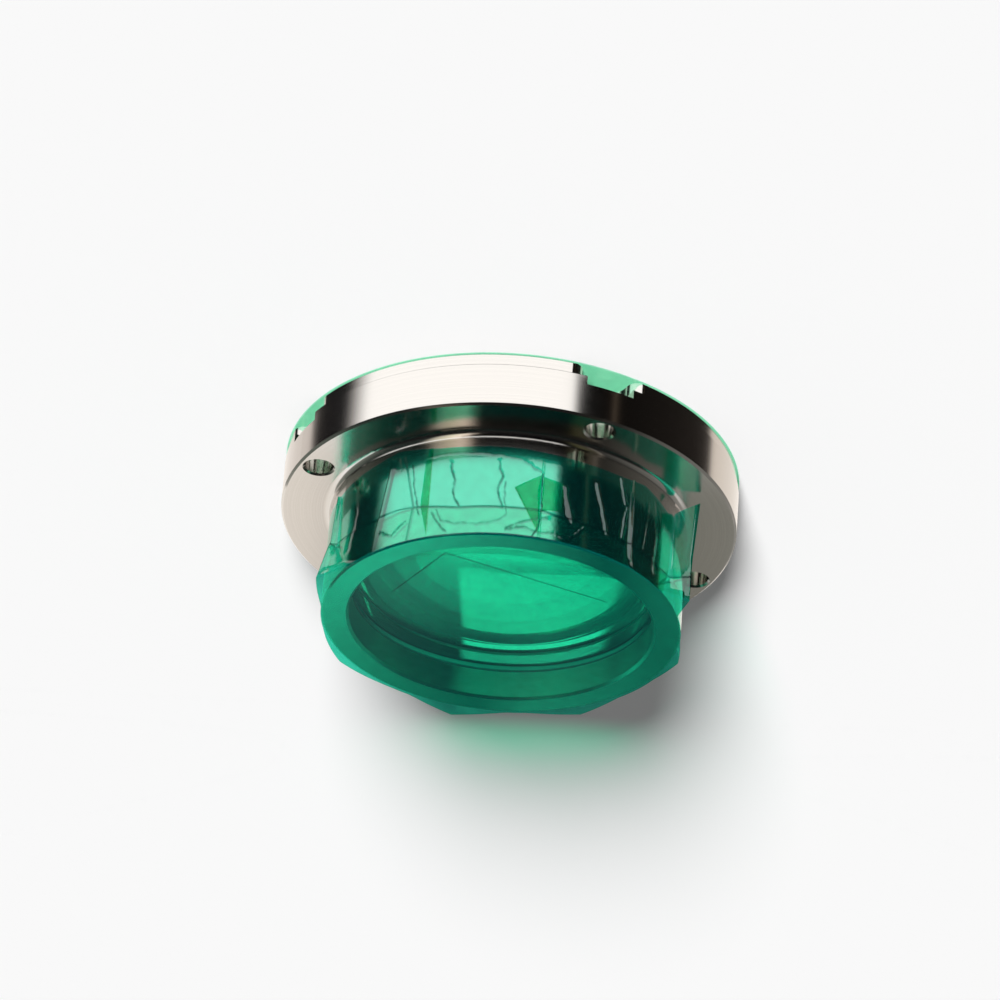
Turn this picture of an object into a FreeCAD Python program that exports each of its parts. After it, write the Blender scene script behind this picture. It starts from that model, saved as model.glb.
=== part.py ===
import FreeCAD, Part
import Sketcher
import math
import os

# Laser focusing lens assembly: a turned stainless holder with a flange and a short barrel,
# a lens pair clamped in its bore, and green protective film over both ends.
# Millimetres. +Z is the optical axis, from the flange towards the barrel end.
# The origin is the centre of the face that the part stands on, the film under the flange.

doc = FreeCAD.newDocument("focusing_lens")

# Driving dimensions
SIZES = (
    ("lens_dia", 50.0, "both lenses; the bore, the barrel and the flange follow it"),
    ("flange_width", 8.0, "radial width of the seating face"),
    ("flange_thick", 7.3, "seating face to the back of the rim"),
    ("rim_chamfer", 0.35, "chamfer on the rim at the seating face"),
    ("edge_break", 0.12, "broken sharp edges of the rim and spigot"),
    ("spigot_step", 0.35, "radial step from the rim in to the spigot"),
    ("spigot_height", 2.0, "height of the spigot behind the rim"),
    ("barrel_wall", 2.94, "wall of the barrel round the lens bore"),
    ("barrel_length", 18.3, "seating face to the end of the barrel"),
    ("barrel_chamfer", 0.3, "chamfer on the barrel end"),
    ("neck_radius", 1.25, "fillet between barrel and seating face"),
    ("lip_reach", 1.15, "how far the end lip laps over the lens edge"),
    ("aperture_chamfer", 0.4, "chamfer on the opening in the end lip"),
    ("lip_thick", 4.9, "end lip that the lens pack bears on, deep enough to guard the domes"),
    ("hole_inset", 3.2, "centre of each screw hole in from the rim"),
    ("screw_count", 4, "screw holes and head slots"),
    ("screw_hole_dia", 4.5, "clearance hole for a 4 mm screw"),
    ("screw_hole_chamfer", 0.3, "chamfer on each hole at the seating face"),
    ("head_slot_width", 7.9, "slot for the screw head, open through the rim"),
    ("head_slot_depth", 3.55, "slot floor below the spigot face"),
    ("mouth_radius", 2.0, "rounding of the slot mouth in the spigot"),
    ("lens_play", 0.06, "radial clearance of what sits in the lens bore"),
    ("lens_edge", 4.0, "thickness of each lens at its edge"),
    ("lens_land", 1.6, "flat land round each lens"),
    ("lens_bevel", 0.3, "protective bevel on the lens edges"),
    ("dome_radius", 95.0, "convex face of both lenses, towards the barrel end"),
    ("hollow_radius", 220.0, "concave face of the rear lens, towards the flange"),
    ("ring_gap", 0.2, "radial step from a lens face or the lip out to the ring beside it"),
    ("gasket_thick", 0.5, "gasket between lip and front lens"),
    ("spacer_height", 3.6, "ring between the lenses"),
    ("pressure_height", 2.0, "slip ring behind the rear lens"),
    ("ring_chamfer", 0.25, "chamfer on the turned rings"),
    ("spring_height", 1.5, "wave spring, as clamped"),
    ("spring_gauge", 0.3, "strip thickness of the wave spring"),
    ("spring_inset", 0.1, "inner edge of the spring outside the bore of the rings"),
    ("spring_room", 0.2, "outer edge of the spring inside the edge of the rings"),
    ("spring_waves", 3, "crests round the spring"),
    ("thread_step", 1.0, "thread radius beyond the lens radius, drawn plain"),
    ("thread_play", 0.05, "radial clearance in the thread"),
    ("thread_chamfer", 0.6, "lead-in chamfer of the thread"),
    ("relief_width", 0.9, "groove where the thread ends"),
    ("relief_depth", 0.3, "radial depth of that groove"),
    ("retainer_height", 4.0, "threaded retaining ring"),
    ("retainer_lap", 2.5, "how far the retaining ring reaches in over the lens edge"),
    ("spanner_slot_width", 2.6, "spanner slots in the retaining ring"),
    ("spanner_slot_depth", 1.6, "depth of those slots"),
    ("spanner_slots", 2, "number of those slots"),
    ("film_thick", 0.12, "protective film on the barrel, as one solid sheet"),
    ("film_gap", 0.03, "air between a film skirt and what it is wrapped on"),
    ("first_skirt", 4.9, "how far the first film is folded down the barrel"),
    ("second_hem", 2.15, "lowest corner of the second film above the seating face"),
    ("scallop_rise", 1.1, "rise of the hem between two pleats"),
    ("pleat_gauge", 0.26, "folded film, two layers"),
    ("pleat_root", 0.04, "depth that a pleat is rooted in the skirt"),
    ("pleat_top_gap", 0.15, "pleats end this far below the film's top face"),
    ("flange_film_inset", 0.05, "edge of the film under the flange in from the rim"),
    ("flange_film_thick", 0.15, "thickness of the film under the flange"),
)

# Places worked out from the driving dimensions
PLACES = (
    ("lens_r", "Sizes.lens_dia / 2"),
    ("lens_bore_r", "lens_r + Sizes.lens_play"),
    ("ring_r", "lens_bore_r - Sizes.lens_play"),
    ("barrel_r", "lens_bore_r + Sizes.barrel_wall"),
    ("barrel_top_r", "barrel_r - Sizes.barrel_chamfer"),
    ("rim_r", "barrel_r + Sizes.flange_width"),
    ("rim_top_r", "rim_r - Sizes.rim_chamfer"),
    ("rim_low_r", "rim_r - Sizes.edge_break"),
    ("spigot_r", "rim_r - Sizes.spigot_step"),
    ("spigot_low_r", "spigot_r - Sizes.edge_break"),
    ("aperture_r", "lens_r - Sizes.lip_reach"),
    ("aperture_top_r", "aperture_r + Sizes.aperture_chamfer"),
    ("thread_r", "lens_r + Sizes.thread_step"),
    ("thread_mouth_r", "thread_r + Sizes.thread_chamfer"),
    ("relief_r", "thread_r + Sizes.relief_depth"),
    ("dome_r", "lens_r - Sizes.lens_land"),
    ("ring_bore_r", "dome_r + Sizes.ring_gap"),
    ("gasket_in_r", "aperture_r + Sizes.ring_gap"),
    ("spring_in_r", "ring_bore_r + Sizes.spring_inset"),
    ("spring_out_r", "ring_r - Sizes.spring_room"),
    ("spigot_z", "Sizes.flange_film_thick"),
    ("spigot_edge_z", "spigot_z + Sizes.edge_break"),
    ("rim_z", "spigot_z + Sizes.spigot_height"),
    ("rim_edge_z", "rim_z + Sizes.edge_break"),
    ("seat_z", "rim_z + Sizes.flange_thick"),
    ("rim_chamfer_z", "seat_z - Sizes.rim_chamfer"),
    ("end_z", "seat_z + Sizes.barrel_length"),
    ("end_chamfer_z", "end_z - Sizes.barrel_chamfer"),
    ("aperture_chamfer_z", "end_z - Sizes.aperture_chamfer"),
    ("lip_z", "end_z - Sizes.lip_thick"),
    ("gasket_z", "lip_z - Sizes.gasket_thick"),
    ("front_lens_z", "gasket_z - Sizes.lens_edge"),
    ("spacer_z", "front_lens_z - Sizes.spacer_height"),
    ("rear_lens_z", "spacer_z - Sizes.lens_edge"),
    ("pressure_z", "rear_lens_z - Sizes.pressure_height"),
    ("spring_z", "pressure_z - Sizes.spring_height"),
    ("retainer_z", "spring_z - Sizes.retainer_height"),
    ("thread_mouth_z", "spigot_z + Sizes.thread_chamfer"),
    ("relief_z", "pressure_z - Sizes.relief_width"),
    ("dome_sag", "Sizes.dome_radius - sqrt(Sizes.dome_radius ^ 2 - dome_r ^ 2)"),
    ("dome_apex", "Sizes.lens_edge + dome_sag"),
    ("hollow_sag", "Sizes.hollow_radius - sqrt(Sizes.hollow_radius ^ 2 - dome_r ^ 2)"),
    ("bolt_r", "rim_r - Sizes.hole_inset"),
    ("outside_r", "rim_r + 2"),
    ("slot_half", "Sizes.head_slot_width / 2"),
    ("slot_other", "0 - slot_half"),
    ("mouth_x", "sqrt((spigot_r - Sizes.mouth_radius) ^ 2 - (slot_half + Sizes.mouth_radius) ^ 2)"),
    ("mouth_share", "spigot_r / (spigot_r - Sizes.mouth_radius)"),
    ("mouth_end_x", "mouth_x * mouth_share"),
    ("mouth_end_y", "(slot_half + Sizes.mouth_radius) * mouth_share"),
    ("mouth_other_y", "0 - mouth_end_y"),
    ("first_in_r", "barrel_r + Sizes.film_gap"),
    ("first_out_r", "first_in_r + Sizes.film_thick"),
    ("first_under_z", "end_z"),
    ("first_top_z", "end_z + Sizes.film_thick"),
    ("first_hem_z", "end_z - Sizes.first_skirt"),
    ("second_in_r", "first_out_r + Sizes.film_gap"),
    ("second_out_r", "second_in_r + Sizes.film_thick"),
    ("second_under_z", "first_top_z"),
    ("second_top_z", "first_top_z + Sizes.film_thick"),
    ("second_hem_z", "seat_z + Sizes.second_hem"),
    ("pleat_root_r", "second_out_r - Sizes.pleat_root"),
    ("pleat_top_z", "second_top_z - Sizes.pleat_top_gap"),
    ("retainer_r", "thread_r - Sizes.thread_play"),
    ("retainer_bore_r", "lens_r - Sizes.retainer_lap"),
    ("spanner_half", "Sizes.spanner_slot_width / 2"),
    ("spanner_other", "0 - spanner_half"),
    ("spanner_in", "retainer_bore_r - 1"),
    ("spanner_out", "retainer_r + 1"),
    ("flange_film_r", "rim_r - Sizes.flange_film_inset"),
)

# The pleats of the second film, one row each: angle round the barrel and lean from the
# radius, both in degrees, then the fold's width at the barrel end and at the hem.
PLEATS = (
    (4.0, 0.0, 2.8, 0.8),
    (55.0, 35.0, 1.6, 2.2),
    (100.0, 0.0, 2.8, 2.0),
    (140.0, -30.0, 2.4, 2.6),
    (188.0, 30.0, 1.4, 2.4),
    (227.0, 0.0, 3.0, 4.1),
    (252.0, -76.0, 0.8, 3.2),
    (284.0, -78.0, 0.8, 4.2),
    (326.0, 78.0, 0.8, 4.2),
)


def make_sheet(name):
    """An empty sheet that the features read by its name."""
    sheet = doc.addObject("Spreadsheet::Sheet", name)
    sheet.Label = name
    return sheet


sizes = make_sheet("Sizes")
for row, (alias, value, note) in enumerate(SIZES, start=1):
    sizes.set(f"A{row}", str(value))
    sizes.setAlias(f"A{row}", alias)
    sizes.set(f"B{row}", note)
doc.recompute()

places = make_sheet("Places")
for row, (alias, formula) in enumerate(PLACES, start=1):
    places.setAlias(f"A{row}", alias)
    places.set(f"A{row}", "=" + formula)
doc.recompute()


def place(alias):
    """The present value of a place."""
    return float(getattr(places, alias))


def size(alias):
    """The present value of a driving dimension."""
    return float(getattr(sizes, alias))


def make_body(name, base_z=None):
    """An empty body, lifted to the named place."""
    body = doc.addObject("PartDesign::Body", name)
    body.Label = name
    if base_z:
        body.setExpression(".Placement.Base.z", "Places." + base_z)
    return body


def origin_feature(body, role):
    """One of a body's own planes or axes."""
    return next(item for item in body.Origin.OriginFeatures if item.Role == role)


def new_sketch(body, name, role):
    """A sketch on one of the body's own planes."""
    sketch = body.newObject("Sketcher::SketchObject", name)
    sketch.AttachmentSupport = (origin_feature(body, role), [""])
    sketch.MapMode = "FlatFace"
    return sketch


def pin_coordinate(sketch, kind, edge, end, alias):
    """Ties one coordinate of a point to a place, or to the axis where it is zero."""
    if alias == "":
        axis = -2 if kind == "DistanceX" else -1
        sketch.addConstraint(Sketcher.Constraint("PointOnObject", edge, end, axis))
        return
    sheet, word = ("Sizes", alias[5:]) if alias.startswith("size ") else ("Places", alias)
    value = size(word) if sheet == "Sizes" else place(word)
    index = sketch.addConstraint(Sketcher.Constraint(kind, -1, 1, edge, end, value))
    sketch.setExpression(f"Constraints[{index}]", f"{sheet}.{word}")


def value_of(alias):
    """The number behind a coordinate's name."""
    if alias == "":
        return 0.0
    return size(alias[5:]) if alias.startswith("size ") else place(alias)


def outline(body, name, role, corners):
    """A closed outline through named corners.

    Each corner is (x, y) and starts a straight edge, or (x, y, centre x, centre y, turn) and
    starts an arc about that centre, which turns left (1) or right (-1).
    """
    sketch = new_sketch(body, name, role)
    count = len(corners)
    points = [FreeCAD.Vector(value_of(c[0]), value_of(c[1]), 0) for c in corners]
    first_ends = []
    last_ends = []
    for i, corner in enumerate(corners):
        start = points[i]
        finish = points[(i + 1) % count]
        if len(corner) == 2:
            sketch.addGeometry(Part.LineSegment(start, finish), False)
            first_ends.append(1)
            last_ends.append(2)
            continue
        centre = FreeCAD.Vector(corner[2], corner[3], 0)
        circle = Part.Circle(centre, FreeCAD.Vector(0, 0, 1), (start - centre).Length)
        turns_left = corner[4] > 0
        opens, shuts = (start, finish) if turns_left else (finish, start)
        angles = [math.atan2(p.y - centre.y, p.x - centre.x) for p in (opens, shuts)]
        sketch.addGeometry(Part.ArcOfCircle(circle, angles[0], angles[1]), False)
        first_ends.append(1 if turns_left else 2)
        last_ends.append(2 if turns_left else 1)
    for i in range(count):
        after = (i + 1) % count
        sketch.addConstraint(
            Sketcher.Constraint("Coincident", i, last_ends[i], after, first_ends[after])
        )
    for i, corner in enumerate(corners):
        pin_coordinate(sketch, "DistanceX", i, first_ends[i], corner[0])
        pin_coordinate(sketch, "DistanceY", i, first_ends[i], corner[1])
        if len(corner) > 2:
            pin_coordinate(sketch, "DistanceX", i, 3, corner[5])
    return sketch


def revolve(body, sketch, name):
    """Turns a profile once round the optical axis."""
    turned = body.newObject("PartDesign::Revolution", name)
    turned.Profile = sketch
    turned.ReferenceAxis = (sketch, ["V_Axis"])
    turned.Angle = 360
    doc.recompute()
    return turned


def circles(body, name, role, radii, centre_x=""):
    """A sketch of circles about one centre, their radii tied to places."""
    sketch = new_sketch(body, name, role)
    for alias in radii:
        middle = FreeCAD.Vector(value_of(centre_x), 0, 0)
        circle = Part.Circle(middle, FreeCAD.Vector(0, 0, 1), value_of(alias))
        edge = sketch.addGeometry(circle, False)
        pin_coordinate(sketch, "DistanceX", edge, 3, centre_x)
        pin_coordinate(sketch, "DistanceY", edge, 3, "")
        index = sketch.addConstraint(Sketcher.Constraint("Radius", edge, value_of(alias)))
        sketch.setExpression(f"Constraints[{index}]", f"Places.{alias}")
    return sketch


def pocket_up(body, sketch, name, depth):
    """Cuts a sketch upwards from the body's base, to a depth or right through."""
    cut = body.newObject("PartDesign::Pocket", name)
    cut.Profile = sketch
    cut.Reversed = True
    if depth:
        cut.Type = "Length"
        cut.setExpression("Length", depth)
    else:
        cut.Type = "ThroughAll"
    before = body.Shape.Volume
    doc.recompute()
    if body.Shape.Volume >= before:
        raise RuntimeError(name + " cuts nothing")
    return cut


def pattern(body, features, name, count):
    """Repeats features evenly round the optical axis."""
    ring = body.newObject("PartDesign::PolarPattern", name)
    ring.Originals = features
    ring.Axis = (origin_feature(body, "Z_Axis"), [""])
    ring.Angle = 360
    ring.setExpression("Occurrences", count)
    body.Tip = ring
    doc.recompute()
    return ring


def circle_edges(shape, radius, level=None):
    """Names of the full or part circles of a radius, at a height of the body's own frame."""
    names = []
    for i, edge in enumerate(shape.Edges, start=1):
        if edge.Degenerated:
            continue
        curve = edge.Curve
        if not isinstance(curve, Part.Circle) or abs(curve.Radius - radius) > 1e-4:
            continue
        if level is None or abs(curve.Center.z - level) < 1e-4:
            names.append(f"Edge{i}")
    if not names:
        raise RuntimeError(f"no circle of radius {radius}")
    return names


def dress(body, kind, name, base, edges, expression):
    """A chamfer or fillet on named edges of a feature."""
    feature = body.newObject("PartDesign::" + kind, name)
    feature.Base = (base, edges)
    feature.setExpression("Radius" if kind == "Fillet" else "Size", expression)
    body.Tip = feature
    doc.recompute()
    return feature


# The holder: flange, barrel, end lip and bore are turned from one bar
holder = make_body("lens_holder")
holder_profile = outline(
    holder,
    "holder_profile",
    "XZ_Plane",
    (
        ("aperture_r", "lip_z"),
        ("aperture_r", "aperture_chamfer_z"),
        ("aperture_top_r", "end_z"),
        ("barrel_top_r", "end_z"),
        ("barrel_r", "end_chamfer_z"),
        ("barrel_r", "seat_z"),
        ("rim_top_r", "seat_z"),
        ("rim_r", "rim_chamfer_z"),
        ("rim_r", "rim_edge_z"),
        ("rim_low_r", "rim_z"),
        ("spigot_r", "rim_z"),
        ("spigot_r", "spigot_edge_z"),
        ("spigot_low_r", "spigot_z"),
        ("thread_mouth_r", "spigot_z"),
        ("thread_r", "thread_mouth_z"),
        ("thread_r", "relief_z"),
        ("relief_r", "relief_z"),
        ("relief_r", "pressure_z"),
        ("lens_bore_r", "pressure_z"),
        ("lens_bore_r", "lip_z"),
    ),
)
holder_turned = revolve(holder, holder_profile, "holder_turned")
neck_edges = circle_edges(holder_turned.Shape, place("barrel_r"), place("seat_z"))
neck = dress(holder, "Fillet", "neck", holder_turned, neck_edges, "Sizes.neck_radius")

# Screw holes, and the slots that let each screw head in from behind. A slot runs out
# through the rim, and its mouth in the spigot is rounded.
hole_sketch = new_sketch(holder, "hole_sketch", "XY_Plane")
hole_circle = Part.Circle(
    FreeCAD.Vector(place("bolt_r"), 0, 0), FreeCAD.Vector(0, 0, 1), size("screw_hole_dia") / 2
)
hole_sketch.addGeometry(hole_circle, False)
pin_coordinate(hole_sketch, "DistanceX", 0, 3, "bolt_r")
pin_coordinate(hole_sketch, "DistanceY", 0, 3, "")
hole_index = hole_sketch.addConstraint(Sketcher.Constraint("Diameter", 0, size("screw_hole_dia")))
hole_sketch.setExpression(f"Constraints[{hole_index}]", "Sizes.screw_hole_dia")
hole = pocket_up(holder, hole_sketch, "screw_hole", None)

slot_sketch = outline(
    holder,
    "slot_sketch",
    "XY_Plane",
    (
        ("bolt_r", "slot_half", place("bolt_r"), 0.0, 1, "bolt_r"),
        ("bolt_r", "slot_other"),
        ("outside_r", "slot_other"),
        ("outside_r", "slot_half"),
    ),
)
slot = pocket_up(holder, slot_sketch, "head_slot", "Places.spigot_z + Sizes.head_slot_depth")

mouth_centre_y = place("slot_half") + size("mouth_radius")
mouth_sketch = outline(
    holder,
    "mouth_sketch",
    "XY_Plane",
    (
        ("bolt_r", "slot_half", place("bolt_r"), 0.0, 1, "bolt_r"),
        ("bolt_r", "slot_other"),
        ("mouth_x", "slot_other", place("mouth_x"), -mouth_centre_y, -1, "mouth_x"),
        ("mouth_end_x", "mouth_other_y"),
        ("outside_r", "mouth_other_y"),
        ("outside_r", "mouth_end_y"),
        ("mouth_end_x", "mouth_end_y", place("mouth_x"), mouth_centre_y, -1, "mouth_x"),
        ("mouth_x", "slot_half"),
    ),
)
mouth = pocket_up(holder, mouth_sketch, "slot_mouth", "Places.rim_z")

screw_ring = pattern(holder, [hole, slot, mouth], "screw_ring", "Sizes.screw_count")
hole_edges = circle_edges(screw_ring.Shape, size("screw_hole_dia") / 2, place("seat_z"))
dress(holder, "Chamfer", "hole_chamfers", screw_ring, hole_edges, "Sizes.screw_hole_chamfer")


def make_ring(name, base_z, inner, outer, height, chamfer):
    """A turned ring with its four edges broken."""
    body = make_body(name, base_z)
    sketch = circles(body, name + "_sketch", "XY_Plane", (inner, outer))
    pad = body.newObject("PartDesign::Pad", name + "_pad")
    pad.Profile = sketch
    pad.setExpression("Length", height)
    doc.recompute()
    if chamfer:
        edges = circle_edges(pad.Shape, place(inner)) + circle_edges(pad.Shape, place(outer))
        dress(body, "Chamfer", name + "_chamfer", pad, edges, chamfer)
    return body


# What the bore holds, in the order it goes in from the flange side
make_ring("seat_gasket", "gasket_z", "gasket_in_r", "ring_r", "Sizes.gasket_thick", None)

front_lens = make_body("front_lens", "front_lens_z")
dome_centre = place("dome_apex") - size("dome_radius")
front_profile = outline(
    front_lens,
    "front_profile",
    "XZ_Plane",
    (
        ("", ""),
        ("lens_r", ""),
        ("lens_r", "size lens_edge"),
        ("dome_r", "size lens_edge", 0.0, dome_centre, 1, ""),
        ("", "dome_apex"),
    ),
)
front_turned = revolve(front_lens, front_profile, "front_turned")
front_edges = circle_edges(front_turned.Shape, place("lens_r"))
dress(front_lens, "Chamfer", "front_bevel", front_turned, front_edges, "Sizes.lens_bevel")

make_ring(
    "spacer_ring", "spacer_z", "ring_bore_r", "ring_r", "Sizes.spacer_height", "Sizes.ring_chamfer"
)

rear_lens = make_body("rear_lens", "rear_lens_z")
hollow_centre = place("hollow_sag") - size("hollow_radius")
rear_profile = outline(
    rear_lens,
    "rear_profile",
    "XZ_Plane",
    (
        ("", "hollow_sag", 0.0, hollow_centre, -1, ""),
        ("dome_r", ""),
        ("lens_r", ""),
        ("lens_r", "size lens_edge"),
        ("dome_r", "size lens_edge", 0.0, dome_centre, 1, ""),
        ("", "dome_apex"),
    ),
)
rear_turned = revolve(rear_lens, rear_profile, "rear_turned")
rear_edges = circle_edges(rear_turned.Shape, place("lens_r"))
dress(rear_lens, "Chamfer", "rear_bevel", rear_turned, rear_edges, "Sizes.lens_bevel")

make_ring(
    "pressure_ring",
    "pressure_z",
    "ring_bore_r",
    "ring_r",
    "Sizes.pressure_height",
    "Sizes.ring_chamfer",
)


def wave_loop(radius, lift, middle, swing, waves):
    """One closed edge of the spring strip, a wave round the axis."""
    steps = 12 * waves
    points = []
    for step in range(steps):
        angle = 2 * math.pi * step / steps
        height = middle + lift + swing * math.cos(waves * angle)
        points.append(FreeCAD.Vector(radius * math.cos(angle), radius * math.sin(angle), height))
    curve = Part.BSplineCurve()
    curve.interpolate(Points=points, PeriodicFlag=True)
    return curve.toShape()


def make_wave_spring(name):
    """A flat strip bent into waves, whose crests and hollows touch its two neighbours."""
    gauge = size("spring_gauge")
    swing = (size("spring_height") - gauge) / 2
    middle = size("spring_height") / 2
    waves = int(size("spring_waves"))
    radii = (place("spring_in_r"), place("spring_out_r"))
    low = [wave_loop(radius, -gauge / 2, middle, swing, waves) for radius in radii]
    high = [wave_loop(radius, gauge / 2, middle, swing, waves) for radius in radii]
    sides = ((low[0], low[1]), (low[1], high[1]), (high[1], high[0]), (high[0], low[0]))
    shell = Part.makeShell([Part.makeRuledSurface(a, b) for a, b in sides])
    shell.sewShape()
    solid = Part.makeSolid(shell)
    if solid.Volume < 0:
        solid.reverse()
    spring = doc.addObject("Part::Feature", name)
    spring.Label = name
    spring.Shape = solid
    spring.Placement = FreeCAD.Placement(
        FreeCAD.Vector(0, 0, place("spring_z")), FreeCAD.Rotation()
    )
    return spring


make_wave_spring("wave_spring")

# The retaining ring screws in behind the spring, with two spanner slots in its open face
retainer = make_ring(
    "retaining_ring",
    "retainer_z",
    "retainer_bore_r",
    "retainer_r",
    "Sizes.retainer_height",
    "Sizes.ring_chamfer",
)
spanner_sketch = outline(
    retainer,
    "spanner_sketch",
    "XY_Plane",
    (
        ("spanner_in", "spanner_other"),
        ("spanner_out", "spanner_other"),
        ("spanner_out", "spanner_half"),
        ("spanner_in", "spanner_half"),
    ),
)
spanner_slot = pocket_up(retainer, spanner_sketch, "spanner_slot", "Sizes.spanner_slot_depth")
pattern(retainer, [spanner_slot], "spanner_slots", "Sizes.spanner_slots")


def cap_profile(body, name, inner, outer, under, top, hem):
    """The section of a film cap: a flat end and a skirt down the barrel."""
    return outline(
        body,
        name,
        "XZ_Plane",
        (("", under), (inner, under), (inner, hem), (outer, hem), (outer, top), ("", top)),
    )


# The first film: a round sheet over the barrel end, its edge folded down the side
first_film = make_body("barrel_film_first")
first_profile = cap_profile(
    first_film,
    "first_profile",
    "first_in_r",
    "first_out_r",
    "first_under_z",
    "first_top_z",
    "first_hem_z",
)
revolve(first_film, first_profile, "first_turned")

# The second film: a larger sheet over the first, whose spare cloth stands in pleats, with
# a hem that rises between them
skirt = make_body("second_skirt")
skirt_profile = cap_profile(
    skirt,
    "skirt_profile",
    "second_in_r",
    "second_out_r",
    "second_under_z",
    "second_top_z",
    "second_hem_z",
)
revolve(skirt, skirt_profile, "skirt_turned")


def add_scallop(number, start, finish):
    """A cutter that lifts the hem in an arc between two pleats."""
    half_span = place("second_out_r") * math.radians(finish - start) / 2
    rise = size("scallop_rise")
    radius = (half_span**2 + rise**2) / (2 * rise)
    cutter = doc.addObject("Part::Cylinder", f"scallop_{number}")
    cutter.Radius = radius
    cutter.setExpression("Height", "Places.outside_r")
    middle = math.radians((start + finish) / 2)
    outwards = FreeCAD.Vector(math.cos(middle), math.sin(middle), 0)
    cutter.Placement = FreeCAD.Placement(
        FreeCAD.Vector(0, 0, place("second_hem_z") + rise - radius),
        FreeCAD.Rotation(FreeCAD.Vector(0, 0, 1), outwards),
    )
    return cutter


def add_pleat(number, angle, lean, end_width, hem_width):
    """A folded strip of film that stands out from the skirt and tapers."""
    pleat = doc.addObject("Part::Wedge", f"pleat_{number}")
    gauge = size("pleat_gauge")
    low, high = (0.0, gauge) if lean >= 0 else (-gauge, 0.0)
    pleat.Xmin = 0
    pleat.X2min = 0
    pleat.Xmax = hem_width
    pleat.X2max = end_width
    pleat.Ymin = 0
    pleat.setExpression("Ymax", "Places.pleat_top_z - Places.second_hem_z")
    pleat.Zmin = low
    pleat.Z2min = low
    pleat.Zmax = high
    pleat.Z2max = high
    turn = math.radians(angle + lean)
    along = FreeCAD.Vector(math.cos(turn), math.sin(turn), 0)
    up = FreeCAD.Vector(0, 0, 1)
    root = math.radians(angle)
    base = FreeCAD.Vector(
        place("pleat_root_r") * math.cos(root),
        place("pleat_root_r") * math.sin(root),
        place("second_hem_z"),
    )
    pleat.Placement = FreeCAD.Placement(base, FreeCAD.Rotation(along, up, along.cross(up), "XYZ"))
    return pleat


angles = [row[0] for row in PLEATS]
scallops = doc.addObject("Part::MultiFuse", "scallops")
scallops.Shapes = [
    add_scallop(number, start, finish)
    for number, (start, finish) in enumerate(zip(angles, angles[1:] + [angles[0] + 360.0]), 1)
]
trimmed = doc.addObject("Part::Cut", "trimmed_skirt")
trimmed.Base = skirt
trimmed.Tool = scallops
second_film = doc.addObject("Part::MultiFuse", "barrel_film_second")
second_film.Shapes = [trimmed] + [add_pleat(n, *row) for n, row in enumerate(PLEATS, 1)]
second_film.Label = "barrel_film_second"

# The film under the flange, a plain round sheet that also bridges the slots
flange_film = make_body("flange_film")
flange_film_sketch = circles(
    flange_film, "flange_film_sketch", "XY_Plane", ("flange_film_r",)
)
flange_sheet = flange_film.newObject("PartDesign::Pad", "flange_sheet")
flange_sheet.Profile = flange_film_sketch
flange_sheet.setExpression("Length", "Sizes.flange_film_thick")

doc.recompute()

NODES = (
    "lens_holder",
    "seat_gasket",
    "front_lens",
    "spacer_ring",
    "rear_lens",
    "pressure_ring",
    "wave_spring",
    "retaining_ring",
    "barrel_film_first",
    "barrel_film_second",
    "flange_film",
)

for item in doc.Objects:
    if "Invalid" in item.State or "Error" in item.State:
        raise RuntimeError(f"{item.Name} failed: {item.State}")

os.makedirs("parts", exist_ok=True)
for node in NODES:
    found = [item for item in doc.Objects if item.Label == node]
    if len(found) != 1:
        raise RuntimeError(f"{node} is missing or not unique")
    shape = found[0].Shape
    if shape.isNull() or not shape.isValid():
        raise RuntimeError(f"{node} has no valid shape")
    if len(shape.Solids) != 1:
        raise RuntimeError(f"{node} is not one solid")
    shape.exportStep(f"parts/{node}.step")
    box = shape.BoundBox
    print(
        f"{node}: {shape.Volume:.1f} mm3, z {box.ZMin:.2f} to {box.ZMax:.2f},"
        f" x {box.XMin:.2f} to {box.XMax:.2f}"
    )
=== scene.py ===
# %% [markdown]
# This is the focusing lens assembly of a laser cutting head: a flange with a short barrel,
# turned in one piece, two lenses clamped in the bore, and green film over both ends. The solids
# come from the CAD frame and keep their shape. This script gives them their finish, lays the
# films as real film lies, and builds the light that the steel mirrors.

import math

import bmesh
import bpy
from mathutils import Matrix, Vector, noise


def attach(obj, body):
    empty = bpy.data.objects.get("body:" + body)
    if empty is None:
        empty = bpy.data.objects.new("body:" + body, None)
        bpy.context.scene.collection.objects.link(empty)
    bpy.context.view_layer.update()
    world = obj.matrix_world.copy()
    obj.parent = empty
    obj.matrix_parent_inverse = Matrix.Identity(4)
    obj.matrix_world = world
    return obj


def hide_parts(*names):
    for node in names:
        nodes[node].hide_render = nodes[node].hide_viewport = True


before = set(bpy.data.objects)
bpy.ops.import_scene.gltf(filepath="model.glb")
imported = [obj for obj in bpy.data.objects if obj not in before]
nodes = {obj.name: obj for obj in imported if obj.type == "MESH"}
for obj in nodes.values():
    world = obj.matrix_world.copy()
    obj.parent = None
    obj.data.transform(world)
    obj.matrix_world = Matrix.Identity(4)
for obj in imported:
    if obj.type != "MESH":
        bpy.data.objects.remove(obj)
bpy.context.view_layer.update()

# %% [markdown]
# The numbers of a small turned part are easiest to read in millimetres, so one name turns
# them to metres. Colours are written as a designer would, in hex, and turned once to the
# linear values that the shaders want. A round part is easiest to describe by an angle and a
# distance from its axis.

# %% Units, colours and places
MM = 0.001


def linear(hex_colour):
    """The linear RGBA of an sRGB hex colour."""
    channels = [int(hex_colour[i : i + 2], 16) / 255 for i in (0, 2, 4)]
    curve = [c / 12.92 if c <= 0.04045 else ((c + 0.055) / 1.055) ** 2.4 for c in channels]
    return (*curve, 1.0)


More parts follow.
